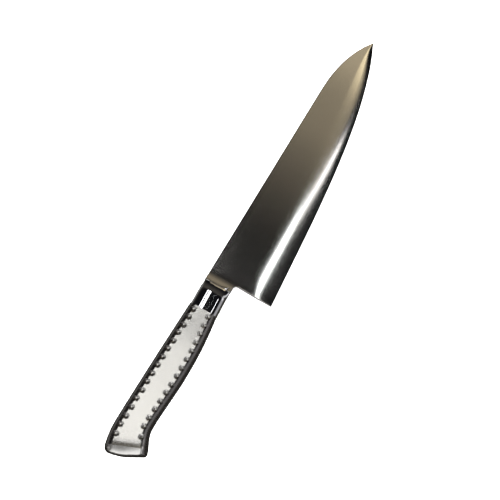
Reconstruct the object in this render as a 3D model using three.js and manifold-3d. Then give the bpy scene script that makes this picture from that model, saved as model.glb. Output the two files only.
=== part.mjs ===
// Chef's knife, all stainless steel: a ground blade with a stub tang, a polished neck (the bolster)
// slid over the tang, and a hollow grip of two pressed half shells closed by a domed butt cap, all
// joined by weld metal that is ground flush.
//
// Units are millimetres. The knife lies on its side: +X runs to the tip, +Y to the spine, +Z is up.
// Pieces are drawn from the foot of the heel's line: x = 0 at the heel, y = 0 at the spine and
// z = 0 on the mid-plane. The last lines move the origin to the middle of the underside.

import * as THREE from 'three';
import { mergeVertices } from 'three/addons/utils/BufferGeometryUtils.js';
import Module from 'manifold-3d';

const wasm = await Module();
wasm.setup();

// Blade
const bladeLength = 210; // heel to tip
const heelHeight = 47; // spine to edge at the heel
const tipDrop = 15.1; // tip below the spine's line
const spineRunOut = 52; // where the spine starts to drop, back from the tip
const bladeThickness = 2.2;
const tipThickness = 0.9;
const edgeThickness = 0.3;
const distalTaper = 90; // length over which the spine thins towards the tip
const flatDepth = 17; // parallel flat below the spine, before the ground face
const choilRadius = 2.2;
const choilSlope = 0.7; // the heel's line leans back towards the edge by this much

// Tang
const tangTop = 4.5; // below the spine
const tangHeight = 11;
const tangThickness = 1.9;
const tangLength = 31; // back from the bolster's line
const tangClearance = 0.15;

// Bolster, the polished neck between blade and grip
const bolsterSetback = 4.8; // bolster's line, back from the heel
const bolsterCurl = 4; // how far that line sweeps forward at the belly
const rampLength = 6.4;
const rampFootThickness = 3.4; // over the blade, at the bolster's line
const neckLength = 12.8; // from the ramp to the grip
const neckThickness = 11.2; // at the ramp
const neckRearThickness = 12.2; // at the grip
const neckStep = 0.3; // neck below the grip's skin, all round
const neckFrontHeight = 19.2;
const spigotLength = 8; // inside the grip's shells

// Grip
const gripLength = 102.2; // from the neck to the butt's ridge, along the spine
const gripFrontHeight = 20.2;
const gripFrontThickness = 12.8;
const gripThickness = 14; // over the flat palm panels
const buttThickness = 16; // at the ridge of the flared butt
const gripTaper = 26; // length over which the grip thickens behind the neck
const buttFlare = 19; // length over which it flares at the butt
const shellWall = 1.5;
const sideRoll = 5; // how far the rolled sides reach in from the outline
const shellClearance = 0.3; // between the shells and what sits inside them

// Grip outlines, as rises from the spine's line and drops from the belly at the neck
const backArch = 1.7; // highest point of the grip's back
const buttTopDrop = 0.5; // ridge's spine end below the spine's line
const buttLean = 10.4; // the ridge's belly end, forward of its spine end
const buttHeight = 24.8; // spine end to belly end of the ridge, down the knife
const bellySwell = 2.9; // palm swell below the belly at the neck
const bellyWaist = 1.4; // waist in front of the butt's hook

// Dimples, pressed where the flat panels meet the rolled sides
const dimplePitch = 6.02;
const dimpleStart = 2.9; // first centre from the neck
const dimpleRadius = 2.25; // of the pressing ball
const dimpleDepth = 0.8;
const spineDimpleInset = 5.35;
const bellyDimpleInset = 4.35;
const spineDimpleMargin = 6.8; // the row stops this far from the butt's ridge
const bellyDimpleMargin = 3.4;

// Butt cap
const capRim = 0.8; // straight rim in front of the ridge
const capLength = 3.8; // from the ridge to the end's corners
const capBow = 1.7; // how much further the middle of the end stands out
const capCollar = 4; // length inside the shells

// Weld metal
const seamWidth = 1.2; // between the two shells
const ringWidth = 1; // round the neck and round the cap
const weldGap = 0.3;
const tangWeldSize = 1.6;

// Facet counts
const rollSteps = 5;
const gripStations = 26;
const curveSteps = 22;

// Places that follow from the sizes
const bolsterLine = -bolsterSetback;
const rampTop = bolsterLine - rampLength;
const shoulder = rampTop - neckLength;
const shellFront = shoulder - ringWidth;
const ridgeTop = shoulder - gripLength;
const ridgeBottom = ridgeTop + buttLean;
const shellRearSetback = capRim + weldGap + ringWidth + weldGap;
const tangEnd = bolsterLine - tangLength;
const spigotEnd = shoulder - spigotLength;
const dimpleRoom = gripLength - dimpleStart;
const spineDimples = 1 + Math.floor((dimpleRoom - spineDimpleMargin) / dimplePitch);
const bellyDimples = 1 + Math.floor((dimpleRoom - buttLean - bellyDimpleMargin) / dimplePitch);

const spineOutline = new THREE.SplineCurve([
  new THREE.Vector2(shoulder, 0.3),
  new THREE.Vector2(shoulder - gripLength * 0.42, backArch * 0.72),
  new THREE.Vector2(shoulder - gripLength * 0.8, backArch),
  new THREE.Vector2(ridgeTop + 9, backArch - 0.4),
  new THREE.Vector2(ridgeTop, -buttTopDrop),
]);

const bellyOutline = new THREE.SplineCurve([
  new THREE.Vector2(shoulder, -gripFrontHeight + 0.3),
  new THREE.Vector2(shoulder - gripLength * 0.21, -gripFrontHeight - bellySwell * 0.72),
  new THREE.Vector2(shoulder - gripLength * 0.42, -gripFrontHeight - bellySwell + 0.2),
  new THREE.Vector2(shoulder - gripLength * 0.6, -gripFrontHeight - bellyWaist - 0.5),
  new THREE.Vector2(shoulder - gripLength * 0.74, -gripFrontHeight - bellyWaist + 0.3),
  new THREE.Vector2(ridgeBottom + 8, -buttTopDrop - buttHeight + 3.4),
  new THREE.Vector2(ridgeBottom, -buttTopDrop - buttHeight),
]);

const bladeTip = new THREE.Vector2(bladeLength, -tipDrop);
const edgeCurve = new THREE.CubicBezierCurve(
  new THREE.Vector2(0, -heelHeight),
  new THREE.Vector2(bladeLength / 3, -heelHeight + 4.8),
  new THREE.Vector2(bladeLength - 56, -tipDrop - 24.2),
  bladeTip,
);
const spineDrop = new THREE.CubicBezierCurve(
  new THREE.Vector2(bladeLength - spineRunOut, 0),
  new THREE.Vector2(bladeLength - 28, 0),
  new THREE.Vector2(bladeLength - 10, -tipDrop + 8.6),
  bladeTip,
);

// Height of a left-to-right or right-to-left curve at a place along the knife.
function heightAt(curve, x) {
  const rising = curve.getPoint(1).x > curve.getPoint(0).x;
  let low = 0;
  let high = 1;
  for (let step = 0; step < 40; step++) {
    const middle = (low + high) / 2;
    const short = rising ? curve.getPoint(middle).x < x : curve.getPoint(middle).x > x;
    if (short) low = middle;
    else high = middle;
  }
  return curve.getPoint(low).y;
}

function smoothStep(value) {
  const t = THREE.MathUtils.clamp(value, 0, 1);
  return t * t * (3 - 2 * t);
}

// A closed mesh from a list of points and faces, turned so that its faces point outwards.
function closedGeometry(points, faces) {
  let volume = 0;
  for (const [a, b, c] of faces) {
    volume += points[a].dot(new THREE.Vector3().crossVectors(points[b], points[c]));
  }
  const index = volume < 0 ? faces.flatMap(([a, b, c]) => [a, c, b]) : faces.flat();
  const geometry = new THREE.BufferGeometry();
  const values = points.flatMap((point) => point.toArray());
  geometry.setAttribute('position', new THREE.Float32BufferAttribute(values, 3));
  geometry.setIndex(index);
  return geometry;
}

// A solid that runs through a row of closed rings with equal counts. endFaces closes both ends.
function loft(rings, endFaces) {
  const count = rings[0].length;
  const faces = [];
  for (let ring = 0; ring < rings.length - 1; ring++) {
    for (let i = 0; i < count; i++) {
      const a = ring * count + i;
      const b = ring * count + ((i + 1) % count);
      faces.push([a, b, b + count], [a, b + count, a + count]);
    }
  }
  const last = (rings.length - 1) * count;
  for (const [a, b, c] of endFaces) {
    faces.push([c, b, a], [last + a, last + b, last + c]);
  }
  return closedGeometry(rings.flat(), faces);
}

// End faces of a ring whose second half runs back under its first: pairs of facing points.
function pairedFaces(count, shared) {
  const faces = [];
  const half = shared ? count / 2 + 1 : count / 2;
  const partner = (i) => (shared ? (count - i) % count : count - 1 - i);
  for (let i = 0; i < half - 1; i++) {
    if (partner(i + 1) !== i + 1) faces.push([i, i + 1, partner(i + 1)]);
    if (partner(i) !== i) faces.push([i, partner(i + 1), partner(i)]);
  }
  return faces;
}

function toManifold(geometry) {
  const bare = geometry.clone();
  bare.deleteAttribute('normal');
  bare.deleteAttribute('uv');
  const merged = mergeVertices(bare, 1e-5);
  return new wasm.Manifold(new wasm.Mesh({
    numProp: 3,
    vertProperties: new Float32Array(merged.attributes.position.array),
    triVerts: new Uint32Array(merged.index.array),
  }));
}

function toGeometry(solid) {
  const mesh = solid.getMesh();
  const geometry = new THREE.BufferGeometry();
  geometry.setAttribute('position', new THREE.BufferAttribute(mesh.vertProperties, 3));
  geometry.setIndex(new THREE.BufferAttribute(mesh.triVerts, 1));
  return geometry;
}

function boxBetween(low, high) {
  const size = new THREE.Vector3().subVectors(high, low);
  const geometry = new THREE.BoxGeometry(size.x, size.y, size.z);
  const centre = new THREE.Vector3().addVectors(low, high).multiplyScalar(0.5);
  return geometry.translate(centre.x, centre.y, centre.z);
}

// The same piece for the knife's other side.
function mirrored(geometry) {
  const copy = geometry.clone().scale(1, 1, -1);
  const index = copy.index.array;
  for (let i = 0; i < index.length; i += 3) {
    [index[i + 1], index[i + 2]] = [index[i + 2], index[i + 1]];
  }
  return copy;
}

// Half the grip's thickness at a place along it.
function gripHalfAt(x) {
  const front = gripFrontThickness / 2;
  const palm = gripThickness / 2;
  const butt = buttThickness / 2;
  const thicken = smoothStep((shoulder - x) / gripTaper);
  const flare = THREE.MathUtils.clamp((ridgeTop + buttLean / 2 + buttFlare - x) / buttFlare, 0, 1);
  return front + (palm - front) * thicken + (butt - palm) * flare * flare;
}

// One cross-section of the grip: its ends on the two outlines and its half thickness.
function gripStation(topX, bottomX) {
  return {
    top: new THREE.Vector2(topX, heightAt(spineOutline, topX)),
    bottom: new THREE.Vector2(bottomX, heightAt(bellyOutline, bottomX)),
    half: gripHalfAt((topX + bottomX) / 2),
  };
}

// A section parallel to the butt's ridge and some way in front of it.
function buttStation(forward) {
  return gripStation(ridgeTop + forward, ridgeBottom + forward);
}

// The upper half of a section, from the spine over the flat panel to the belly, starting above
// the mid-plane by startZ and lying inset below the skin.
function upperProfile(station, inset, startZ) {
  const across = station.bottom.clone().sub(station.top).normalize();
  const top = station.top.clone().addScaledVector(across, inset);
  const bottom = station.bottom.clone().addScaledVector(across, -inset);
  const half = station.half - inset;
  const roll = sideRoll - inset;
  const first = Math.asin(startZ / half);
  const rolled = [];
  for (let step = 0; step <= rollSteps; step++) {
    const angle = THREE.MathUtils.lerp(first, Math.PI / 2, step / rollSteps);
    rolled.push({ reach: roll * (1 - Math.cos(angle)), z: half * Math.sin(angle) });
  }
  const spineSide = rolled.map(({ reach, z }) => {
    const point = top.clone().addScaledVector(across, reach);
    return new THREE.Vector3(point.x, point.y, z);
  });
  const bellySide = rolled.map(({ reach, z }) => {
    const point = bottom.clone().addScaledVector(across, -reach);
    return new THREE.Vector3(point.x, point.y, z);
  });
  return [...spineSide, ...bellySide.reverse()];
}

// The whole section as one ring.
function fullProfile(station, inset) {
  const upper = upperProfile(station, inset, 0);
  const lower = upper.slice(1, -1).reverse().map((point) => new THREE.Vector3(point.x, point.y, -point.z));
  return [...upper, ...lower];
}

function fullLoft(stations, inset) {
  const rings = stations.map((station) => fullProfile(station, inset));
  return loft(rings, pairedFaces(rings[0].length, true));
}

function shellStations() {
  const rearTop = ridgeTop + shellRearSetback;
  const rearBottom = ridgeBottom + shellRearSetback;
  const stations = [];
  for (let i = 0; i < gripStations; i++) {
    const along = i / (gripStations - 1);
    const topX = THREE.MathUtils.lerp(shellFront, rearTop, along);
    const bottomX = THREE.MathUtils.lerp(shellFront, rearBottom, along);
    stations.push(gripStation(topX, bottomX));
  }
  return stations;
}

// Half thickness of the blade under a point of its outline.
function bladeHalfAt(x, depth, height) {
  const thin = smoothStep((x - bladeLength + distalTaper) / distalTaper);
  const spineHalf = THREE.MathUtils.lerp(bladeThickness, tipThickness, thin) / 2;
  const flat = Math.min(flatDepth, height * 0.4);
  const ground = THREE.MathUtils.clamp((depth - flat) / (height - flat), 0, 1);
  return THREE.MathUtils.lerp(spineHalf, edgeThickness / 2, ground ** 1.4);
}

// Front face of the bolster along its height, where share is 0 at the spine and 1 at the belly.
function bolsterFrontX(share) {
  return bolsterLine + bolsterCurl * share ** 6;
}

function bladeOutline() {
  const faceX = (depth) => bolsterFrontX(depth / neckFrontHeight) + weldGap;
  const shape = new THREE.Shape();
  shape.moveTo(faceX(0), 0);
  shape.lineTo(spineDrop.v0.x, spineDrop.v0.y);
  shape.bezierCurveTo(spineDrop.v1.x, spineDrop.v1.y, spineDrop.v2.x, spineDrop.v2.y, bladeTip.x, bladeTip.y);
  shape.bezierCurveTo(edgeCurve.v2.x, edgeCurve.v2.y, edgeCurve.v1.x, edgeCurve.v1.y, 0, -heelHeight);
  shape.lineTo(choilSlope, -neckFrontHeight - choilRadius);
  shape.quadraticCurveTo(choilSlope, -neckFrontHeight, faceX(neckFrontHeight), -neckFrontHeight);
  const curlSteps = 8;
  for (let step = 1; step < curlSteps; step++) {
    const depth = neckFrontHeight * (1 - step / curlSteps);
    shape.lineTo(faceX(depth), -depth);
  }
  return shape;
}

// The ground faces: a lens-shaped bar around the whole blade, which the outline is cut from.
function grindBar() {
  const margin = 1;
  const stations = 20;
  const levels = 8;
  const places = [bolsterLine - margin, 0];
  for (let i = 1; i < stations; i++) {
    places.push((bladeLength * i) / stations);
  }
  places.push(bladeLength - 4, bladeLength + margin);
  const rings = places.map((x) => {
    const inside = THREE.MathUtils.clamp(x, 0, bladeLength - 0.5);
    const spineY = inside > spineDrop.v0.x ? heightAt(spineDrop, inside) : 0;
    const height = spineY - heightAt(edgeCurve, inside);
    const upper = [new THREE.Vector3(x, spineY + margin, bladeHalfAt(inside, 0, height))];
    for (let level = 0; level <= levels; level++) {
      const flatShare = Math.min(flatDepth / height, 0.4);
      const share = level === 0 ? flatShare : flatShare + ((1 - flatShare) * level) / levels;
      upper.push(new THREE.Vector3(x, spineY - height * share, bladeHalfAt(inside, height * share, height)));
    }
    upper.push(new THREE.Vector3(x, spineY - height - margin, edgeThickness / 2));
    const lower = upper.map((point) => new THREE.Vector3(point.x, point.y, -point.z)).reverse();
    return [...upper, ...lower];
  });
  return loft(rings, pairedFaces(rings[0].length, false));
}

function makeBlade() {
  const plate = new THREE.ExtrudeGeometry(bladeOutline(), {
    depth: bladeThickness,
    bevelEnabled: false,
    curveSegments: curveSteps,
  });
  plate.translate(0, 0, -bladeThickness / 2);
  const rooted = 2;
  const tang = boxBetween(
    new THREE.Vector3(tangEnd, -tangTop - tangHeight, -tangThickness / 2),
    new THREE.Vector3(bolsterFrontX(1) + rooted, -tangTop, tangThickness / 2),
  );
  return toGeometry(toManifold(plate).intersect(toManifold(grindBar())).add(toManifold(tang)));
}

// One ring of the bolster, a superellipse with its belly side swept forward.
function bolsterRing(x, half, bottom, curl) {
  const steps = 14;
  const roundness = 2.6;
  const top = -neckStep * smoothStep((rampTop - x) / neckLength);
  const upper = [];
  for (let step = 0; step <= steps; step++) {
    const angle = (Math.PI * step) / steps;
    const reach = Math.sign(Math.cos(angle)) * Math.abs(Math.cos(angle)) ** (2 / roundness);
    const share = (1 - reach) / 2;
    const y = THREE.MathUtils.lerp(top, bottom, share);
    upper.push(new THREE.Vector3(x + curl * share ** 6, y, half * Math.sin(angle) ** (2 / roundness)));
  }
  upper[0].z = 0;
  upper[steps].z = 0;
  const lower = upper.slice(1, -1).reverse().map((point) => new THREE.Vector3(point.x, point.y, -point.z));
  return [...upper, ...lower];
}

function bolsterBody() {
  const rings = [];
  const neckStations = 4;
  for (let i = 0; i <= neckStations; i++) {
    const along = i / neckStations;
    const x = THREE.MathUtils.lerp(shoulder, rampTop, along);
    const thickness = THREE.MathUtils.lerp(neckRearThickness, neckThickness, along);
    const height = THREE.MathUtils.lerp(gripFrontHeight - 2 * neckStep, neckFrontHeight, along);
    rings.push(bolsterRing(x, thickness / 2, -height, 0));
  }
  const rampStations = 6;
  for (let i = 1; i <= rampStations; i++) {
    const along = i / rampStations;
    const x = THREE.MathUtils.lerp(rampTop, bolsterLine, along);
    const drop = Math.sin((along * Math.PI) / 2);
    const thickness = THREE.MathUtils.lerp(neckThickness, rampFootThickness, drop);
    rings.push(bolsterRing(x, thickness / 2, -neckFrontHeight, bolsterCurl * along ** 2));
  }
  return loft(rings, pairedFaces(rings[0].length, true));
}

function makeBolster() {
  const rooted = 0.5;
  const spigot = fullLoft([
    gripStation(shoulder + rooted, shoulder + rooted),
    gripStation(spigotEnd, spigotEnd),
  ], shellWall + shellClearance);
  const slotHalf = tangThickness / 2 + tangClearance;
  const slot = boxBetween(
    new THREE.Vector3(spigotEnd - 1, -tangTop - tangHeight - tangClearance, -slotHalf),
    new THREE.Vector3(bolsterLine + bolsterCurl + 1, -tangTop + tangClearance, slotHalf),
  );
  return toGeometry(toManifold(bolsterBody()).add(toManifold(spigot)).subtract(toManifold(slot)));
}

// Weld bead round the end of the tang, behind the bolster, where the hollow grip hides it.
function makeTangWeld() {
  const front = spigotEnd;
  const rear = Math.max(spigotEnd - tangWeldSize, tangEnd + weldGap);
  const inner = tangClearance;
  const outer = inner + tangWeldSize;
  const bottom = -tangTop - tangHeight;
  const halfTang = tangThickness / 2;
  const bead = boxBetween(
    new THREE.Vector3(rear, bottom - outer, -halfTang - outer),
    new THREE.Vector3(front, -tangTop + outer, halfTang + outer),
  );
  const tangHole = boxBetween(
    new THREE.Vector3(rear - 1, bottom - inner, -halfTang - inner),
    new THREE.Vector3(front + 1, -tangTop + inner, halfTang + inner),
  );
  return toGeometry(toManifold(bead).subtract(toManifold(tangHole)));
}

function dimpleBalls() {
  const balls = [];
  for (let i = 0; i < spineDimples; i++) {
    const x = shoulder - dimpleStart - i * dimplePitch;
    const z = gripHalfAt(x) + dimpleRadius - dimpleDepth;
    const places = [heightAt(spineOutline, x) - spineDimpleInset];
    if (i < bellyDimples) places.push(heightAt(bellyOutline, x) + bellyDimpleInset);
    for (const y of places) {
      balls.push(new THREE.SphereGeometry(dimpleRadius, 10, 8).rotateX(Math.PI / 2).translate(x, y, z));
    }
  }
  return balls;
}

// The pressed half shell on the upper side, a channel with flat rims at the two seams.
function makeShell() {
  const rings = shellStations().map((station) => {
    const outer = upperProfile(station, 0, seamWidth / 2);
    const inner = upperProfile(station, shellWall, seamWidth / 2).reverse();
    return [...outer, ...inner];
  });
  let shell = toManifold(loft(rings, pairedFaces(rings[0].length, false)));
  for (const ball of dimpleBalls()) {
    shell = shell.subtract(toManifold(ball));
  }
  return toGeometry(shell);
}

// Weld metal between the shells' rims, as deep as the wall. side is 'top' or 'bottom'.
function makeSeamWeld(side) {
  const other = side === 'top' ? 'bottom' : 'top';
  const half = seamWidth / 2;
  const rings = shellStations().map((station) => {
    const skin = station[side];
    const inwards = station[other].clone().sub(skin).normalize();
    const root = skin.clone().addScaledVector(inwards, shellWall);
    return [
      new THREE.Vector3(skin.x, skin.y, half),
      new THREE.Vector3(root.x, root.y, half),
      new THREE.Vector3(root.x, root.y, -half),
      new THREE.Vector3(skin.x, skin.y, -half),
    ];
  });
  return loft(rings, pairedFaces(rings[0].length, false));
}

// A ring of weld metal, as deep as the shells' wall, between two sections of the grip.
function makeRingWeld(front, rear) {
  const outer = toManifold(fullLoft([front, rear], 0));
  const reach = new THREE.Vector2(1, 0);
  const hollow = [
    { ...front, top: front.top.clone().add(reach), bottom: front.bottom.clone().add(reach) },
    { ...rear, top: rear.top.clone().sub(reach), bottom: rear.bottom.clone().sub(reach) },
  ];
  return toGeometry(outer.subtract(toManifold(fullLoft(hollow, shellWall))));
}

function makeBolsterWeld() {
  return makeRingWeld(gripStation(shoulder, shoulder), gripStation(shellFront, shellFront));
}

function makeCapWeld() {
  const near = capRim + weldGap;
  return makeRingWeld(buttStation(near + ringWidth), buttStation(near));
}

// Layers of the cap from underside to top: a straight front edge and a bulged back edge.
function capBody() {
  const station = buttStation(0);
  const across = station.bottom.clone().sub(station.top);
  across.normalize();
  const outwards = new THREE.Vector2(across.y, -across.x);
  if (outwards.x > 0) outwards.negate();
  const forward = new THREE.Vector2(capRim, 0);
  const backSteps = 14;
  const cornerSharpness = 24;
  const layers = [];
  for (let step = -rollSteps; step <= rollSteps; step++) {
    const angle = (Math.PI / 2) * (step / rollSteps);
    const reach = sideRoll * (1 - Math.cos(angle));
    const swell = Math.cos(angle) ** 2;
    const top = station.top.clone().addScaledVector(across, reach);
    const bottom = station.bottom.clone().addScaledVector(across, -reach);
    const ring = [top.clone().add(forward), bottom.clone().add(forward)];
    for (let back = 0; back <= backSteps; back++) {
      const place = Math.cos((Math.PI * back) / backSteps);
      const bulge = (capLength + capBow * (1 - place ** 2)) * Math.sqrt(1 - place ** cornerSharpness);
      const point = bottom.clone().lerp(top, (1 - place) / 2);
      ring.push(point.addScaledVector(outwards, bulge * swell));
    }
    layers.push(ring.map((point) => new THREE.Vector3(point.x, point.y, station.half * Math.sin(angle))));
  }
  const endFaces = [];
  for (let i = 1; i < layers[0].length - 1; i++) {
    endFaces.push([0, i, i + 1]);
  }
  return loft(layers, endFaces);
}

function makeButtCap() {
  const rooted = 0.4;
  const collar = fullLoft([
    buttStation(shellRearSetback + capCollar),
    buttStation(capRim - rooted),
  ], shellWall + shellClearance);
  return toGeometry(toManifold(capBody()).add(toManifold(collar)));
}

const satinSteel = { color: 0xb9b6ae, roughness: 0.38, metalness: 1 };
const mirrorSteel = { color: 0xcfcfd1, roughness: 0.08, metalness: 1 };
const blastedSteel = { color: 0xc9c7c1, roughness: 0.55, metalness: 0.9 };
const weldSteel = { color: 0x9d9a94, roughness: 0.5, metalness: 0.9 };

function piece(name, geometry, finish) {
  const mesh = new THREE.Mesh(geometry, new THREE.MeshStandardMaterial(finish));
  mesh.name = name;
  return mesh;
}

const knife = new THREE.Group();
const shell = makeShell();
knife.add(piece('blade', makeBlade(), satinSteel));
knife.add(piece('bolster', makeBolster(), mirrorSteel));
knife.add(piece('handle_shell_left', shell, blastedSteel));
knife.add(piece('handle_shell_right', mirrored(shell), blastedSteel));
knife.add(piece('butt_cap', makeButtCap(), blastedSteel));
knife.add(piece('spine_seam_weld', makeSeamWeld('top'), weldSteel));
knife.add(piece('belly_seam_weld', makeSeamWeld('bottom'), weldSteel));
knife.add(piece('bolster_ring_weld', makeBolsterWeld(), weldSteel));
knife.add(piece('cap_ring_weld', makeCapWeld(), weldSteel));
knife.add(piece('tang_weld', makeTangWeld(), weldSteel));

// The origin goes to the middle of the box's underside.
const box = new THREE.Box3().setFromObject(knife);
const middle = box.getCenter(new THREE.Vector3());
knife.position.set(-middle.x, -middle.y, -box.min.z);

export default knife;
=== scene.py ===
import functools
import math

import bmesh
import bpy
from mathutils import Matrix, Vector


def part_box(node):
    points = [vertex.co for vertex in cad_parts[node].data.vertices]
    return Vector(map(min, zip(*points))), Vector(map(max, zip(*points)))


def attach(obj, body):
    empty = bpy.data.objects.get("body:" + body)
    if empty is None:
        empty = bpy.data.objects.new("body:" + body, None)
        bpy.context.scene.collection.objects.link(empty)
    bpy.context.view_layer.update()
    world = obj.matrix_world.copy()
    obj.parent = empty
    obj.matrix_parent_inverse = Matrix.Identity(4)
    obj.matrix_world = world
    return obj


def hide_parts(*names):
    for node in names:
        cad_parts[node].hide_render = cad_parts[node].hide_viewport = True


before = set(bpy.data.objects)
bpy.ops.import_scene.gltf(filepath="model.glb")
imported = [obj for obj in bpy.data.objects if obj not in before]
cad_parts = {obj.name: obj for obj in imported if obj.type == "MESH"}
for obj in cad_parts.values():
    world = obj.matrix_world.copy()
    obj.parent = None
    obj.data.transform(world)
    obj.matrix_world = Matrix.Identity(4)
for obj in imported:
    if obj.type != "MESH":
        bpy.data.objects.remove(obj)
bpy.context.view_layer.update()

mm = 0.001
near = 0.02  # mm; what lies closer together than this counts as the same place

# Pieces are drawn with the heel's spine corner at 0, 0, 0, +X to the tip and the mid-plane at z = 0.
# settle() moves a finished piece from there to the place that the frame gives.
# Lengths in the dictionaries are in mm.
layout = {
    "bladeLength": 210, "neckLine": -4.8, "shoulder": -24,
    "ridgeTop": -126.2, "ridgeBottom": -115.8,
}
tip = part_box("blade")[1]
bladeMiddle = (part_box("blade")[0].z + tip.z) / 2
heelSpot = Vector((tip.x - layout["bladeLength"] * mm, tip.y, bladeMiddle))


def splinePoint(points, place):
    # A smooth curve through the points; place runs from 0 at the first to 1 at the last.
    spot = min(place, 0.999999) * (len(points) - 1)
    k = int(spot)
    t = spot - k
    a, b, c, d = (points[min(max(k + j, 0), len(points) - 1)] for j in (-1, 0, 1, 2))
    return [
        0.5 * (2 * b[i] + (c[i] - a[i]) * t + (2 * a[i] - 5 * b[i] + 4 * c[i] - d[i]) * t * t
               + (3 * b[i] - a[i] - 3 * c[i] + d[i]) * t ** 3)
        for i in (0, 1)
    ]


def bezierPoint(points, place):
    # A curve from the first point to the last, drawn towards the two between them.
    a, b, c, d = points
    u = 1 - place
    return [
        a[i] * u ** 3 + 3 * b[i] * u * u * place + 3 * c[i] * u * place * place + d[i] * place ** 3
        for i in (0, 1)
    ]


def heightAt(curve, points, x):
    # The curve's second value where its first one is x.
    halvings = 40
    rising = points[-1][0] > points[0][0]
    low, high = 0.0, 1.0
    for _ in range(halvings):
        middle = (low + high) / 2
        if (curve(points, middle)[0] < x) == rising:
            low = middle
        else:
            high = middle
    return curve(points, low)[1]


def smooth(value):
    # Eases from 0 to 1.
    t = min(max(value, 0), 1)
    return t * t * (3 - 2 * t)


def editPiece(name):
    # Takes the primitive that was just added, with its place applied, into edit mode.
    piece = bpy.context.object
    piece.name = name
    piece.data.name = name
    bpy.ops.object.transform_apply(location=True, rotation=True, scale=True)
    bpy.ops.object.mode_set(mode="EDIT")
    return piece


def clearSelection():
    if bpy.context.mode == "EDIT_MESH":
        bpy.ops.mesh.select_all(action="DESELECT")
    else:
        bpy.ops.object.select_all(action="DESELECT")


def pick(piece, kind, test):
    # Selects the vertices, edges or faces that pass the test and nothing else.
    bpy.ops.mesh.select_all(action="DESELECT")
    bpy.ops.mesh.select_mode(type=kind)
    work = bmesh.from_edit_mesh(piece.data)
    group = {"VERT": work.verts, "EDGE": work.edges, "FACE": work.faces}[kind]
    for part in group:
        if test(part):
            part.select_set(True)
    work.select_flush_mode()
    bmesh.update_edit_mesh(piece.data)


def reshape(piece, spot):
    # Moves each selected vertex to where spot() says, all in mm.
    work = bmesh.from_edit_mesh(piece.data)
    for v in work.verts:
        if v.select:
            v.co = Vector(spot(*(v.co / mm))) * mm
    bmesh.update_edit_mesh(piece.data)


def move(x=0.0, y=0.0, z=0.0):
    bpy.ops.transform.translate(value=(x * mm, y * mm, z * mm))


def extrude(x=0.0, y=0.0, z=0.0):
    bpy.ops.mesh.extrude_region_move(TRANSFORM_OT_translate={"value": (x * mm, y * mm, z * mm)})


def scale(x=1.0, y=1.0, z=1.0, about=(0, 0, 0)):
    bpy.ops.transform.resize(value=(x, y, z), center_override=tuple(c * mm for c in about))


def applyModifier(piece, kind, **values):
    added = piece.modifiers.new(kind.title(), kind)
    for key, value in values.items():
        setattr(added, key, value)
    bpy.ops.object.modifier_apply(modifier=added.name)


def finishEdit():
    bpy.ops.mesh.select_all(action="SELECT")
    bpy.ops.mesh.normals_make_consistent(inside=False)
    bpy.ops.object.mode_set(mode="OBJECT")


def settle(piece, node, sharp=35):
    # Smooth shading, the piece's place in the knife, and what it stands for.
    clearSelection()
    piece.select_set(True)
    bpy.context.view_layer.objects.active = piece
    bpy.ops.object.shade_smooth_by_angle(angle=math.radians(sharp))
    piece.location = heelSpot
    bpy.ops.object.transform_apply(location=True, rotation=True, scale=True)
    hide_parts(node)
    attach(piece, "root")
    print(piece.name, "made,", len(piece.data.polygons), "faces")


bladeForm = {
    "thickness": 2.2, "tipThickness": 1.3, "behindEdge": 0.34, "taperLength": 100,
    "flatDepth": 22, "flatShare": 0.5, "heelDrop": 8, "heelReach": 16,
    "cutWidth": 0.6, "cutShare": 0.25, "cutSlack": 0.05, "edgeFlat": 0.04, "mergeWithin": 0.004,
    "rounding": 0.55, "roundingSteps": 4, "roundAbove": 0.3, "roundAngle": 55,
    "heelHeight": 47, "heelLean": 0.7, "choilRadius": 2.2, "choilSteps": 6, "choilPull": 8,
    "rootLength": 6, "rootSteps": 3, "rootSwell": 0.8, "swellStart": 3.5, "swellLength": 8,
    "edgeLine": [(0, -47), (70, -42.2), (154, -39.3), (210, -15.1)],
    "spineLine": [(158, 0), (182, 0), (200, -6.5), (210, -15.1)],
    "columns": 140, "rows": 36,
}


def bladeTop(x):
    line = bladeForm["spineLine"]
    return heightAt(bezierPoint, line, x) if x > line[0][0] else 0.0


def bladeBottom(x):
    return heightAt(bezierPoint, bladeForm["edgeLine"], max(x, 0))


def cutWidthAt(x):
    # The cutting bevel narrows where the blade runs out at the tip.
    return min(bladeForm["cutWidth"], bladeForm["cutShare"] * (bladeTop(x) - bladeBottom(x)))


def bladeHalf(x, y):
    # Half the blade's thickness: parallel under the spine, then ground convex to the edge.
    form = bladeForm
    length = layout["bladeLength"]
    inside = min(max(x, 0), length)
    top, bottom = bladeTop(inside), bladeBottom(inside)
    thin = smooth((inside - length + form["taperLength"]) / form["taperLength"])
    spineHalf = (form["thickness"] * (1 - thin) + form["tipThickness"] * thin) / 2
    height = max(top - bottom, 0.01)
    lower = form["heelDrop"] * (1 - smooth(inside / form["heelReach"]))
    flat = min(form["flatDepth"], form["flatShare"] * height) + lower
    ground = min(max((top - y - flat) / (height - flat), 0), 1)
    half = spineHalf - (spineHalf - form["behindEdge"] / 2) * ground ** 2
    # It swells towards the neck, as the grinding wheel leaves it.
    rear = min(max((form["swellStart"] - x) / form["swellLength"], 0), 1)
    return half + form["rootSwell"] * rear ** 2


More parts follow.
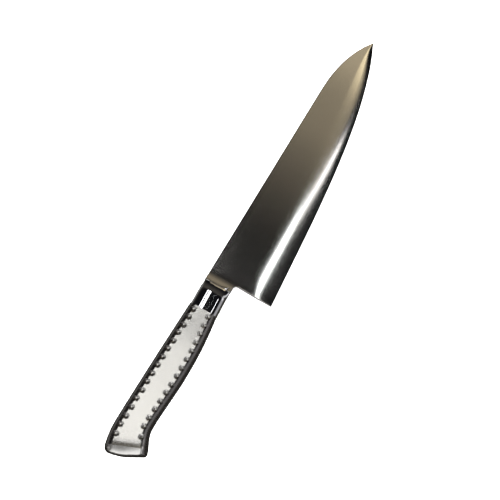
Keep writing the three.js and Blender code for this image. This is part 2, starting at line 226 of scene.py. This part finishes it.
def makeBlade():
    form = bladeForm
    length = layout["bladeLength"]
    clearSelection()
    bpy.ops.mesh.primitive_grid_add(
        x_subdivisions=form["columns"], y_subdivisions=form["rows"], size=1,
        location=(length / 2 * mm, -0.5 * mm, 0))
    bpy.context.object.scale = (length * mm, 1 * mm, 1)
    blade = editPiece("gyuto_blade_210")

    # Each column of the grid is stretched to the blade's height there.
    for column in range(form["columns"] + 1):
        x = length * column / form["columns"]
        top = bladeTop(x)
        pick(blade, "VERT", lambda v: abs(v.co.x / mm - x) < near)
        scale(y=max(top - bladeBottom(x) - cutWidthAt(x), 1e-4))
        move(y=top)

    # The heel leans back to the edge.
    choilFoot = -neckForm["height"] - form["choilRadius"]
    rootLow = choilFoot - 0.6  # a little under the choil's foot
    tall = form["heelHeight"] + choilFoot
    pick(blade, "VERT", lambda v: v.co.x / mm < near)
    reshape(blade, lambda x, y, z: (
        x + form["heelLean"] * (1 if y > rootLow else (y + form["heelHeight"]) / tall), y, z))

    # The root is drawn back into the neck, with the choil's round corner under it.
    pick(blade, "EDGE", lambda e: all(
        abs(v.co.x / mm - form["heelLean"]) < near and v.co.y / mm > rootLow for v in e.verts))
    before = 0.0
    for step in range(1, form["choilSteps"] + 1):
        angle = math.pi / 2 * step / form["choilSteps"]
        back = form["choilRadius"] * (1 - math.cos(angle))
        extrude(x=before - back)
        before = back
        foot = choilFoot + form["choilRadius"] * math.sin(angle)
        work = bmesh.from_edit_mesh(blade.data)
        lowest = min(v.co.y / mm for v in work.verts if v.select)
        reshape(blade, lambda x, y, z: (
            x, y + (foot - lowest) * (y / lowest) ** form["choilPull"], z))
    for _ in range(form["rootSteps"]):
        extrude(x=-(form["rootLength"] - before) / form["rootSteps"])

    # The face is ground: each point is lifted to half the thickness there.
    bpy.ops.mesh.select_all(action="SELECT")
    reshape(blade, lambda x, y, z: (x, y, bladeHalf(x, y)))

    # The cutting bevel.
    def onLowerRim(x, y):
        return y < bladeBottom(x) + cutWidthAt(x) + form["cutSlack"]

    pick(blade, "EDGE", lambda e: e.is_boundary and all(
        onLowerRim(v.co.x / mm, v.co.y / mm) for v in e.verts))
    extrude()
    reshape(blade, lambda x, y, z: (x, bladeBottom(x), form["edgeFlat"] / 2))

    # The rim all round goes down to the mid-plane, and its upper corner is rounded.
    pick(blade, "EDGE", lambda e: e.is_boundary)
    extrude()
    scale(z=0)
    bpy.ops.mesh.select_all(action="SELECT")
    bpy.ops.mesh.remove_doubles(threshold=form["mergeWithin"] * mm)
    bpy.ops.mesh.normals_make_consistent(inside=False)
    pick(blade, "EDGE", lambda e: len(e.link_faces) == 2
         and min(v.co.z for v in e.verts) / mm > form["roundAbove"]
         and e.calc_face_angle() > math.radians(form["roundAngle"]))
    bpy.ops.mesh.bevel(
        offset=form["rounding"] * mm, segments=form["roundingSteps"], affect="EDGES")
    bpy.ops.object.mode_set(mode="OBJECT")
    applyModifier(
        blade, "MIRROR", use_axis=(False, False, True), merge_threshold=form["mergeWithin"] / 2 * mm)
    bpy.ops.object.mode_set(mode="EDIT")
    bpy.ops.mesh.select_all(action="SELECT")
    bpy.ops.uv.cube_project(cube_size=0.1)  # the grain's direction follows it
    finishEdit()
    settle(blade, "blade", sharp=8)
    return blade


neckForm = {
    "rampLength": 6.4, "footThickness": 4.2, "curl": 4, "curlPower": 5,
    "thickness": 11.6, "rearThickness": 11.8, "height": 19.2, "rearHeight": 19.6,
    "step": 0.3, "insert": 2, "roundness": 2.9,
    "footRounding": 0.12, "footSteps": 3, "footLength": 0.5,
    "points": 32, "straightParts": 6, "rampParts": 14,
}


def neckSections():
    # Place, thickness, height, step down from the spine line and forward sweep of each section.
    form = neckForm
    rear = layout["shoulder"]
    rampTop = layout["neckLine"] - form["rampLength"]
    yield rear - form["insert"], form["rearThickness"], form["rearHeight"], form["step"], 0
    for i in range(form["straightParts"] + 1):
        t = i / form["straightParts"]
        thick = form["rearThickness"] + (form["thickness"] - form["rearThickness"]) * t
        tall = form["rearHeight"] + (form["height"] - form["rearHeight"]) * t
        yield rear + (rampTop - rear) * t, thick, tall, form["step"] * (1 - smooth(t)), 0
    for i in range(1, form["rampParts"] + 1):
        t = i / form["rampParts"]
        drop = math.sin(t * math.pi / 2)
        thick = form["thickness"] + (form["footThickness"] - form["thickness"]) * drop
        yield rampTop + form["rampLength"] * t, thick, form["height"], 0, form["curl"] * t * t


def makeNeck():
    form = neckForm
    clearSelection()
    bpy.ops.mesh.primitive_circle_add(
        vertices=form["points"], radius=1 * mm, rotation=(0, math.pi / 2, 0), location=(0, 0, 0))
    neck = editPiece("polished_neck")

    # The round is squared towards a superellipse.
    power = 2 / form["roundness"]
    bpy.ops.mesh.select_all(action="SELECT")
    reshape(neck, lambda x, y, z: (
        x, math.copysign(abs(y) ** power, y), math.copysign(abs(z) ** power, z)))
    last = None
    for x, thick, tall, sink, curl in neckSections():
        if last is None:
            scale(y=tall / 2, z=thick / 2)
            move(x=x, y=-sink - tall / 2)
        else:
            lastX, lastThick, lastTall, lastSink = last
            extrude(x=x - lastX)
            scale(y=tall / lastTall, z=thick / lastThick, about=(0, -lastSink - lastTall / 2, 0))
            move(y=lastSink + lastTall / 2 - sink - tall / 2)
            # The belly side of the front sweeps forward.
            reshape(neck, lambda px, y, z: (
                x + curl * min(max(-y / tall, 0), 1) ** form["curlPower"], y, z))
        last = x, thick, tall, sink
    bpy.ops.mesh.edge_face_add()
    pick(neck, "EDGE", lambda e: e.is_boundary)
    bpy.ops.mesh.edge_face_add()

    # A small round where the front face meets the ramp.
    pick(neck, "EDGE", lambda e: any(len(f.verts) == form["points"] for f in e.link_faces)
         and min(v.co.x for v in e.verts) / mm > layout["neckLine"] - form["footLength"])
    bpy.ops.mesh.bevel(
        offset=form["footRounding"] * mm, segments=form["footSteps"], affect="EDGES")
    finishEdit()
    settle(neck, "bolster", sharp=40)
    return neck


gripForm = {
    "frontThickness": 12.8, "thickness": 14, "buttThickness": 16, "taper": 26,
    "flare": 15, "flareRise": 0.3, "fillet": 5,
    "backRoll": 5.6, "bellyRoll": 4.3, "wall": 1.5, "ringWidth": 1, "seamWidth": 1.2,
    "stations": 28, "buttStations": 9, "buttRoom": 10, "rollPoints": 22, "panelCuts": 4,
    "panelLeast": 6, "middleLine": -12,
    "backLine": [(-24, 0.3), (-66.84, 1.22), (-105.6, 1.7), (-117.2, 1.3), (-126.2, -0.5)],
    "bellyLine": [(-24, -19.9), (-45.42, -22.29), (-66.84, -22.9), (-85.2, -22.1),
                  (-99.48, -21.3), (-107.8, -21.9), (-115.8, -25.7)],
}
dimpleForm = {
    "pitch": 6.02, "start": 2.9, "radius": 1.85, "depth": 0.95,
    "backInset": 5.35, "bellyInset": 4.35, "backCount": 16, "bellyCount": 15,
}


@functools.lru_cache(None)
def backAt(x):
    return heightAt(splinePoint, gripForm["backLine"], x)


@functools.lru_cache(None)
def bellyAt(x):
    return heightAt(splinePoint, gripForm["bellyLine"], x)


def gripHalf(x):
    # Half the grip's thickness: it swells for the palm, then flares in a fillet to the butt's ridge.
    form = gripForm
    front, palm, butt = (form[k] / 2 for k in ("frontThickness", "thickness", "buttThickness"))
    swell = smooth((layout["shoulder"] - x) / form["taper"])
    away = x - (layout["ridgeTop"] + layout["ridgeBottom"]) / 2
    flare = min(max(1 - away / form["flare"], 0), 1)
    fillet = min(max(1 - away / form["fillet"], 0), 1)
    rise = form["flareRise"] * flare ** 2 + (1 - form["flareRise"]) * fillet ** 2
    return front + (palm - front) * swell + (butt - palm) * rise


def gripStation(topX, bottomX):
    # Where one section of the grip meets the two outlines, and half its thickness.
    return {
        "top": (topX, backAt(topX)), "bottom": (bottomX, bellyAt(bottomX)),
        "half": gripHalf((topX + bottomX) / 2),
    }


def buttStation(forward):
    # A section beside the butt's ridge, so far towards the blade.
    return gripStation(layout["ridgeTop"] + forward, layout["ridgeBottom"] + forward)


def stationBetween(t):
    # A section between the neck's weld ring (0) and the cap's (1), leaning more and more.
    front = layout["shoulder"] - gripForm["ringWidth"]
    back = capForm["rim"] + capForm["ringRoom"]
    topEnd, bottomEnd = layout["ridgeTop"] + back, layout["ridgeBottom"] + back
    return gripStation(front + (topEnd - front) * t, front + (bottomEnd - front) * t)


def shellStations():
    # Evenly spaced, then closer together where the grip flares at the butt.
    form = gripForm
    length = layout["shoulder"] - layout["ridgeTop"]
    turn = 1 - form["buttRoom"] / length
    even = [turn * i / form["stations"] for i in range(form["stations"])]
    close = [turn + (1 - turn) * i / form["buttStations"] for i in range(form["buttStations"] + 1)]
    return [stationBetween(t) for t in even + close]


def startSection(name, station, leftOnly=False):
    # A ring across the grip, or its left half: two rolled sides with a flat panel on each face.
    form = gripForm
    clearSelection()
    bpy.ops.mesh.primitive_circle_add(
        vertices=form["rollPoints"], radius=1 * mm, rotation=(0, math.pi / 2, 0), location=(0, 0, 0))
    piece = editPiece(name)
    crown = math.cos(math.pi / form["rollPoints"])
    if leftOnly:
        pick(piece, "VERT", lambda v: v.co.z / mm < -near)
        bpy.ops.mesh.delete(type="VERT")
        pick(piece, "VERT", lambda v: v.co.z / mm < near)
        move(z=form["seamWidth"] / 2 * crown / station["half"])
    for side, sign, roll in (("top", 1, form["backRoll"]), ("bottom", -1, form["bellyRoll"])):
        pick(piece, "VERT", lambda v: v.co.y * sign > 1e-6 and abs(v.co.x) < 1e-6)
        scale(y=roll)
        x, y = station[side]
        move(x=x, y=y - sign * roll)
    bpy.ops.mesh.select_all(action="SELECT")
    scale(z=station["half"] / crown)
    slant(piece, station)
    return piece


def slant(piece, station):
    # Lays the selected ring in the plane through the section's two ends.
    (topX, topY), (bottomX, bottomY) = station["top"], station["bottom"]
    reshape(piece, lambda x, y, z: (topX + (bottomX - topX) * (topY - y) / (topY - bottomY), y, z))


def stepSection(piece, old, new):
    # Draws the selected ring on to the next section, each rolled side by its own move.
    extrude()
    work = bmesh.from_edit_mesh(piece.data)
    work.verts.index_update()
    ring = {v.index for v in work.verts if v.select}
    middle = (old["top"][1] + old["bottom"][1]) / 2
    for side, sign in (("top", 1), ("bottom", -1)):
        pick(piece, "VERT", lambda v: v.index in ring and (v.co.y / mm - middle) * sign > 0)
        move(y=new[side][1] - old[side][1])
    pick(piece, "VERT", lambda v: v.index in ring)
    scale(z=new["half"] / old["half"])
    slant(piece, new)


def panelCorner():
    # How far in the panel's border lies, as a share of the rolled side's width.
    return 1 - math.sin(math.pi / gripForm["rollPoints"])


def spread(part):
    # How far an edge or a face reaches from the spine side to the belly side.
    ys = [v.co.y / mm for v in part.verts]
    return max(ys) - min(ys)


def cutPanels(piece, cuts):
    # The line between panel and rolled side is kept crisp, and the panels get extra loops.
    least = gripForm["panelLeast"]
    pick(piece, "EDGE", lambda e: spread(e) < least / 2 and len(e.link_faces) == 2
         and any(spread(f) > least for f in e.link_faces))
    bpy.ops.transform.edge_crease(value=1)
    pick(piece, "EDGE", lambda e: spread(e) > least)
    bpy.ops.mesh.subdivide(number_cuts=cuts)


def pressDimples(shell):
    # Two rows of bowls, each pressed in from the point of the mesh that is nearest its centre.
    form = dimpleForm
    for inset, line, count in ((-form["backInset"], backAt, form["backCount"]),
                               (form["bellyInset"], bellyAt, form["bellyCount"])):
        work = bmesh.from_edit_mesh(shell.data)
        work.verts.index_update()
        chosen = set()
        for i in range(count):
            x = layout["shoulder"] - form["start"] - i * form["pitch"]
            spot = Vector((x, line(x) + inset)) * mm
            chosen.add(min(work.verts, key=lambda v: (v.co.xy - spot).length).index)
        pick(shell, "VERT", lambda v: v.index in chosen)
        bpy.ops.transform.translate(
            value=(0, 0, -form["depth"] * mm), use_proportional_edit=True,
            proportional_edit_falloff="INVERSE_SQUARE", proportional_size=form["radius"] * mm)


def thicken(piece, outward):
    # Gives a skin its wall, inwards from the side that faces outward.
    bpy.ops.object.mode_set(mode="EDIT")
    finishEdit()
    facing = sum(f.normal.dot(outward(f.center)) * f.area for f in piece.data.polygons)
    if facing < 0:
        piece.data.flip_normals()
    applyModifier(piece, "SOLIDIFY", thickness=gripForm["wall"] * mm, offset=-1)


def makeShells():
    stations = shellStations()
    shell = startSection("grip_half_left", stations[0], leftOnly=True)
    for old, new in zip(stations, stations[1:]):
        stepSection(shell, old, new)
    cutPanels(shell, gripForm["panelCuts"])
    bpy.ops.object.mode_set(mode="OBJECT")
    applyModifier(shell, "SUBSURF", levels=3)
    bpy.ops.object.mode_set(mode="EDIT")
    pressDimples(shell)
    bpy.ops.object.mode_set(mode="OBJECT")
    thicken(shell, lambda spot: Vector((0, 0, 1)))

    # The right half is a mirrored copy.
    clearSelection()
    shell.select_set(True)
    bpy.ops.object.duplicate()
    other = bpy.context.object
    other.name = other.data.name = "grip_half_right"
    bpy.ops.object.mode_set(mode="EDIT")
    bpy.ops.mesh.select_all(action="SELECT")
    scale(z=-1)
    finishEdit()
    settle(shell, "handle_shell_left")
    settle(other, "handle_shell_right")
    return shell, other


def makeSeam(name, side, node):
    # Weld metal between the shells' rims, ground flush with them.
    stations = shellStations()
    x, y = stations[0][side]
    width = gripForm["seamWidth"]
    clearSelection()
    bpy.ops.mesh.primitive_plane_add(size=width * mm, location=(x * mm, y * mm, 0))
    seam = editPiece(name)
    pick(seam, "VERT", lambda v: v.co.x / mm > x)
    bpy.ops.mesh.delete(type="VERT")
    bpy.ops.mesh.select_all(action="SELECT")
    bpy.ops.transform.rotate(
        value=math.pi / 2, orient_axis="X", center_override=(x * mm, y * mm, 0))
    move(x=width / 2)
    for old, new in zip(stations, stations[1:]):
        extrude(x=new[side][0] - old[side][0], y=new[side][1] - old[side][1])
    bpy.ops.object.mode_set(mode="OBJECT")
    applyModifier(seam, "SUBSURF", levels=2)
    thicken(seam, lambda spot: Vector((0, 1 if side == "top" else -1, 0)))
    settle(seam, node)
    return seam


def makeRing(name, stations, node):
    # A weld bead round the grip, ground flush.
    ring = startSection(name, stations[0])
    for old, new in zip(stations, stations[1:]):
        stepSection(ring, old, new)
    cutPanels(ring, gripForm["panelCuts"])
    bpy.ops.object.mode_set(mode="OBJECT")
    applyModifier(ring, "SUBSURF", levels=3)
    middle = sum((f.center for f in ring.data.polygons), Vector()) / len(ring.data.polygons)
    thicken(ring, lambda spot: spot - middle)
    settle(ring, node)
    return ring


capForm = {
    "rim": 0.8, "ringRoom": 1.6, "panelCuts": 9, "endTurn": 0.72,
    "crispAbove": 5, "cornerSlack": 0.012,
    # How far the end stands out from the ridge, from the ridge's spine end (0) to its belly end (1).
    "reach": [(0, 2.3), (0.06, 4.6), (0.165, 5.6), (0.43, 6.4), (0.65, 5.9), (0.865, 5.2),
              (0.96, 4.8), (1, 3.2)],
    # Share of that reach against share of the thickness: the bevel, then the rounded end.
    "bevel": [(0.19, 0.93), (0.38, 0.855), (0.56, 0.775), (0.72, 0.69), (0.83, 0.59),
              (0.92, 0.45), (0.975, 0.27), (1, 0.06)],
}


def reachAt(along):
    return heightAt(splinePoint, capForm["reach"], min(max(along, 0), 1))


def makeCap():
    form = capForm
    front, ridge = buttStation(form["rim"]), buttStation(0)
    cap = startSection("butt_cap_bevelled", front)
    stepSection(cap, front, ridge)
    cutPanels(cap, form["panelCuts"])
    start = Vector(ridge["top"])
    lean = Vector(ridge["bottom"]) - start
    tall = lean.length
    lean.normalize()
    outward = Vector((lean.y, -lean.x))

    def alongRidge(x, y):
        return (Vector((x, y)) - start).dot(lean) / tall

    def fromRidge(x, y):
        return (Vector((x, y)) - start).dot(outward)

    pick(cap, "EDGE", lambda e: all(abs(fromRidge(v.co.x / mm, v.co.y / mm)) < near for v in e.verts))
    lastLevel = 1.0
    for share, level in form["bevel"]:
        extrude()

        def spot(x, y, z):
            along = alongRidge(x, y)
            at = start + lean * along * tall + outward * reachAt(along) * share
            return at.x, at.y, z * level / lastLevel

        reshape(cap, spot)
        lastLevel = level

    # The front rim, the ridge across the panel and the panel's two sides stay crisp.
    backCorner = gripForm["backRoll"] * panelCorner() / tall
    bellyCorner = 1 - gripForm["bellyRoll"] * panelCorner() / tall

    def crisp(edge):
        # Each end of the edge: place along the ridge, distance from it, height over the mid-plane.
        spots = [
            (alongRidge(v.co.x / mm, v.co.y / mm), fromRidge(v.co.x / mm, v.co.y / mm), abs(v.co.z) / mm)
            for v in edge.verts
        ]
        first, last = backCorner - form["cornerSlack"], bellyCorner + form["cornerSlack"]
        if all(abs(s[1]) < near and first < s[0] < last for s in spots):
            return True
        beside = any(
            all(abs(s[0] - corner) < form["cornerSlack"] for s in spots)
            for corner in (backCorner, bellyCorner)
        )
        return beside and all(s[1] > -near and s[2] > form["crispAbove"] for s in spots)

    pick(cap, "EDGE", lambda e: e.is_boundary and all(
        fromRidge(v.co.x / mm, v.co.y / mm) < -near for v in e.verts))
    bpy.ops.transform.edge_crease(value=1)
    pick(cap, "EDGE", crisp)
    bpy.ops.transform.edge_crease(value=1)
    bpy.ops.mesh.select_all(action="SELECT")
    bpy.ops.mesh.fill_holes(sides=0)
    finishEdit()
    applyModifier(cap, "SUBSURF", levels=2)
    settle(cap, "butt_cap")
    return cap


def newMaterial(name, color, metallic=1.0):
    material = bpy.data.materials.new(name)
    material.use_nodes = True
    shader = material.node_tree.nodes["Principled BSDF"]
    shader.inputs["Base Color"].default_value = (*color, 1)
    shader.inputs["Metallic"].default_value = metallic
    return material, material.node_tree, shader


def link(tree, source, output, target, entry):
    tree.links.new(source.outputs[output], target.inputs[entry])


def stretchedNoise(tree, form):
    # Noise in the piece's own coordinates, drawn out along the grain.
    coords = tree.nodes.new("ShaderNodeTexCoord")
    mapping = tree.nodes.new("ShaderNodeMapping")
    mapping.inputs["Scale"].default_value = form["grain"]
    noise = tree.nodes.new("ShaderNodeTexNoise")
    noise.inputs["Scale"].default_value = form["fineness"]
    noise.inputs["Detail"].default_value = form["detail"]
    link(tree, coords, "Object", mapping, "Vector")
    link(tree, mapping, "Vector", noise, "Vector")
    return noise


def steel(name, form):
    # A steel whose finish gives it its own roughness, grain and fine relief.
    material, tree, shader = newMaterial(name, form["color"])
    noise = stretchedNoise(tree, form)
    rough = tree.nodes.new("ShaderNodeMapRange")
    limits = *form["noiseSpan"], *form["rough"]
    for entry, value in zip(("From Min", "From Max", "To Min", "To Max"), limits):
        rough.inputs[entry].default_value = value
    link(tree, noise, "Fac", rough, "Value")
    link(tree, rough, "Result", shader, "Roughness")
    if form["relief"]:
        bump = tree.nodes.new("ShaderNodeBump")
        bump.inputs["Distance"].default_value = form["relief"] * mm
        bump.inputs["Strength"].default_value = 1
        link(tree, noise, "Fac", bump, "Height")
        link(tree, bump, "Normal", shader, "Normal")
    if "stretch" in form:
        shader.inputs["Anisotropic"].default_value = form["stretch"]
        tangent = tree.nodes.new("ShaderNodeTangent")
        tangent.direction_type = "UV_MAP"
        link(tree, tangent, "Tangent", shader, "Tangent")
    return material


# Roughness runs between two values; grain is how often the pattern repeats along x, y and z.
pattern = {"detail": 2.5, "noiseSpan": (0.3, 0.7)}
finishes = {
    "satin": {
        "color": (0.62, 0.61, 0.59), "rough": (0.09, 0.11), "grain": (1, 0.03, 0.03),
        "fineness": 2600, "relief": 0.0005, "stretch": 0.75, **pattern,
    },
    "mirror": {
        "color": (0.74, 0.74, 0.76), "rough": (0.04, 0.08), "grain": (1, 1, 1),
        "fineness": 60, "relief": 0, **pattern,
    },
    "blasted": {
        "color": (0.85, 0.84, 0.81), "rough": (0.24, 0.31), "grain": (1, 1, 1),
        "fineness": 4200, "relief": 0.004, **pattern,
    },
    # Painted shade: the rolled sides' steel is coloured far darker than the panel's, to stand for the
    # dim room mirrored in them.
    "brushedPaintedShade": {
        "color": (0.28, 0.27, 0.265), "rough": (0.24, 0.32), "grain": (1, 0.05, 0.05),
        "fineness": 1600, "relief": 0.002, **pattern,
    },
    "weld": {
        "color": (0.42, 0.40, 0.38), "rough": (0.35, 0.5), "grain": (1, 1, 1),
        "fineness": 900, "relief": 0.024, **pattern,
    },
}


def dress(piece, *materials):
    piece.data.materials.clear()
    for material in materials:
        piece.data.materials.append(material)


def dressGrip(piece, panel, side):
    # The rolled sides have their own finish from the panel's crisp border outwards: a rougher grain, and
    # a dark colour that is painted shade standing for the dim room they mirror.
    backRoll, bellyRoll = (gripForm[key] * panelCorner() for key in ("backRoll", "bellyRoll"))
    dress(piece, panel, side)
    for face in piece.data.polygons:
        x, y, z = (face.center - heelSpot) / mm
        x = min(round(x, 1), layout["shoulder"])
        ridge = layout["ridgeTop"] if y > gripForm["middleLine"] else layout["ridgeBottom"]
        if x > ridge:
            rolled = y > backAt(x) - backRoll or y < bellyAt(x) + bellyRoll
        else:
            # On the butt, faces turned away from the flat take the dark painted shade of the rolled
            # sides.
            rolled = abs(face.normal.z) < capForm["endTurn"]
        face.material_index = 1 if rolled else 0


studio = {
    "floor": (0.92, 0.92, 0.915), "floorGlow": 0.82, "floorRoughness": 0.9,
    "floorRadius": 12, "floorPoints": 96,
    "cameraLens": 55, "cameraTilt": 18, "cameraTurn": -60.2, "cameraDistance": 509.5,
    "lookAt": (-13.0, 7.0, 8.0), "sensorWidth": 36, "clipStart": 0.01, "lampDistance": 4.0,
    "roomLow": (0.06, 0.055, 0.048), "roomHigh": (0.006, 0.006, 0.007), "roomTop": 0.6,
}
# Each lamp hangs so many degrees from straight above, towards the tip and towards the spine side.
# Its size is in degrees too, as seen from the knife.
lamps = {
    "softBoxOverHandle": {"lean": (-16, 7), "size": (46, 27), "glow": 1.3, "tint": (1, 0.99, 0.96)},
    "tubeSpineSide": {"lean": (10.5, 13.7), "size": (4, 3.2), "glow": 6, "tint": (1, 1, 1)},
    "tubeSpineSideOuter": {"lean": (10.5, 18.4), "size": (4, 1.6), "glow": 3.5, "tint": (1, 1, 1)},
    "tubeBellySide": {"lean": (11, -21), "size": (5, 2), "glow": 5, "tint": (1, 1, 1)},
    "stripAlongBlade": {
        "lean": (16.5, 2.4), "size": (7.5, 1.9), "glow": 5, "tint": (0.95, 1, 1), "spin": -6,
    },
    "stripBladeEnd": {
        "lean": (24.2, 0), "size": (8.5, 1.2), "glow": 4, "tint": (1, 0.98, 0.97), "spin": -22,
    },
    "warmCard": {"lean": (36.5, 4.2), "size": (5.5, 4), "glow": 1.2, "tint": (1, 0.84, 0.52)},
    "warmCardAround": {"lean": (37, 7), "size": (8, 12), "glow": 0.4, "tint": (1, 0.84, 0.56)},
    "warmCardInner": {"lean": (31.5, 10), "size": (10, 19), "glow": 0.31, "tint": (1, 0.85, 0.6)},
    "warmCardEdge": {
        "lean": (25.25, 10.5), "size": (2.5, 19), "glow": 0.2, "tint": (1, 0.85, 0.62),
    },
    "warmCardDim": {"lean": (22.75, 11), "size": (2.5, 19), "glow": 0.115, "tint": (1, 0.86, 0.65)},
    "warmCardDimmer": {
        "lean": (20.25, 11.5), "size": (2.5, 19), "glow": 0.05, "tint": (1, 0.88, 0.7),
    },
    "cardBellySide": {"lean": (0, -76), "size": (80, 46), "glow": 0.38, "tint": (0.98, 0.97, 1)},
    "cardSpineSide": {"lean": (0, 102), "size": (80, 20), "glow": 0.35, "tint": (1, 1, 1)},
    "cardFarLeft": {"lean": (-49, 49), "size": (46, 22), "glow": 0.6, "tint": (1, 1, 1)},
    "cardNearRight": {"lean": (54, -54), "size": (46, 22), "glow": 0.6, "tint": (1, 0.99, 0.97)},
    "cardBehindButt": {"lean": (-68, -22), "size": (56, 30), "glow": 1.1, "tint": (1, 1, 1)},
}


def makeStage():
    # A pale paper disc with a tall rim, far larger than the view.
    clearSelection()
    bpy.ops.mesh.primitive_circle_add(
        vertices=studio["floorPoints"], radius=studio["floorRadius"], fill_type="NGON",
        location=(0, 0, 0))
    floor = bpy.context.object
    floor.name = "paper_floor"
    bpy.ops.object.mode_set(mode="EDIT")
    pick(floor, "EDGE", lambda e: e.is_boundary)
    bpy.ops.mesh.extrude_region_move(
        TRANSFORM_OT_translate={"value": (0, 0, studio["floorRadius"])})
    bpy.ops.object.mode_set(mode="OBJECT")
    material, tree, shader = newMaterial("matt paper", studio["floor"], metallic=0.0)
    shader.inputs["Roughness"].default_value = studio["floorRoughness"]
    shader.inputs["Emission Color"].default_value = (1, 1, 1, 1)
    shader.inputs["Emission Strength"].default_value = studio["floorGlow"]
    dress(floor, material)
    # The steel mirrors the lamps and the dim room above, not the paper.
    floor.visible_glossy = False


def hangLamp(name, form):
    # Glow is the lamp's own brightness as the steel mirrors it, whatever its size.
    light = bpy.data.lights.new(name, "AREA")
    light.shape = "RECTANGLE"
    far = studio["lampDistance"]
    light.size, light.size_y = (2 * far * math.tan(math.radians(a) / 2) for a in form["size"])
    light.energy = form["glow"] * math.pi * light.size * light.size_y
    light.color = form["tint"]
    holder = bpy.data.objects.new(name, light)
    bpy.context.scene.collection.objects.link(holder)
    lean = math.radians(math.hypot(*form["lean"]))
    towards = Vector(form["lean"]).normalized() * math.sin(lean)
    away = Vector((towards.x, towards.y, math.cos(lean)))
    along = (Vector((1, 0, 0)) - away * away.x).normalized()
    facing = Matrix((along, away.cross(along), away)).transposed()
    spin = Matrix.Rotation(math.radians(form.get("spin", 0)), 3, "Z")
    holder.rotation_euler = (facing @ spin).to_euler()
    holder.location = Vector(studio["lookAt"]) * mm + away * far
    holder.visible_camera = False


def makeRoom():
    # A dim room: dark overhead, a little lighter towards the walls.
    world = bpy.data.worlds.new("dim room")
    bpy.context.scene.world = world
    world.use_nodes = True
    tree = world.node_tree
    coords = tree.nodes.new("ShaderNodeTexCoord")
    split = tree.nodes.new("ShaderNodeSeparateXYZ")
    ramp = tree.nodes.new("ShaderNodeValToRGB")
    link(tree, coords, "Generated", split, "Vector")
    link(tree, split, "Z", ramp, "Fac")
    link(tree, ramp, "Color", tree.nodes["Background"], "Color")
    low, high = ramp.color_ramp.elements
    low.position, low.color = 0.0, (*studio["roomLow"], 1)
    high.position, high.color = studio["roomTop"], (*studio["roomHigh"], 1)


def makeCamera():
    camera = bpy.data.objects.new("camera", bpy.data.cameras.new("camera"))
    bpy.context.scene.collection.objects.link(camera)
    camera.data.lens = studio["cameraLens"]
    camera.data.sensor_width = studio["sensorWidth"]
    camera.data.clip_start = studio["clipStart"]
    tilt, turn = math.radians(studio["cameraTilt"]), math.radians(studio["cameraTurn"])
    back = Vector((math.sin(turn) * math.sin(tilt), -math.cos(turn) * math.sin(tilt), math.cos(tilt)))
    camera.location = (Vector(studio["lookAt"]) + back * studio["cameraDistance"]) * mm
    camera.rotation_euler = (tilt, 0, turn)
    bpy.context.scene.camera = camera


blade = makeBlade()
neck = makeNeck()
shells = makeShells()
spineSeam = makeSeam("spine_seam", "top", "spine_seam_weld")
bellySeam = makeSeam("belly_seam", "bottom", "belly_seam_weld")
shoulder, ringWidth = layout["shoulder"], gripForm["ringWidth"]
neckRing = makeRing(
    "neck_ring", [gripStation(x, x) for x in (shoulder, shoulder - ringWidth)], "bolster_ring_weld")
rim, room = capForm["rim"], capForm["ringRoom"]
capRing = makeRing("cap_ring", [buttStation(rim + room * t) for t in (1, 0.5, 0)], "cap_ring_weld")
cap = makeCap()

dress(blade, steel("satin steel, ground across", finishes["satin"]))
dress(neck, steel("mirror polished steel", finishes["mirror"]))
blasted = steel("bead blasted steel", finishes["blasted"])
# The rolled sides' dark steel carries painted shade.
brushedPaintedShade = steel("brushed steel", finishes["brushedPaintedShade"])
for piece in (*shells, neckRing, capRing, cap, spineSeam, bellySeam):
    dressGrip(piece, blasted, brushedPaintedShade)
dress(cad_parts["tang_weld"], steel("weld steel, as it cooled", finishes["weld"]))
print("finishes set")

makeStage()
makeCamera()
makeRoom()
for name, form in lamps.items():
    hangLamp(name, form)
bpy.context.scene.view_settings.view_transform = "Standard"
print("studio set,", len(lamps), "lamps")
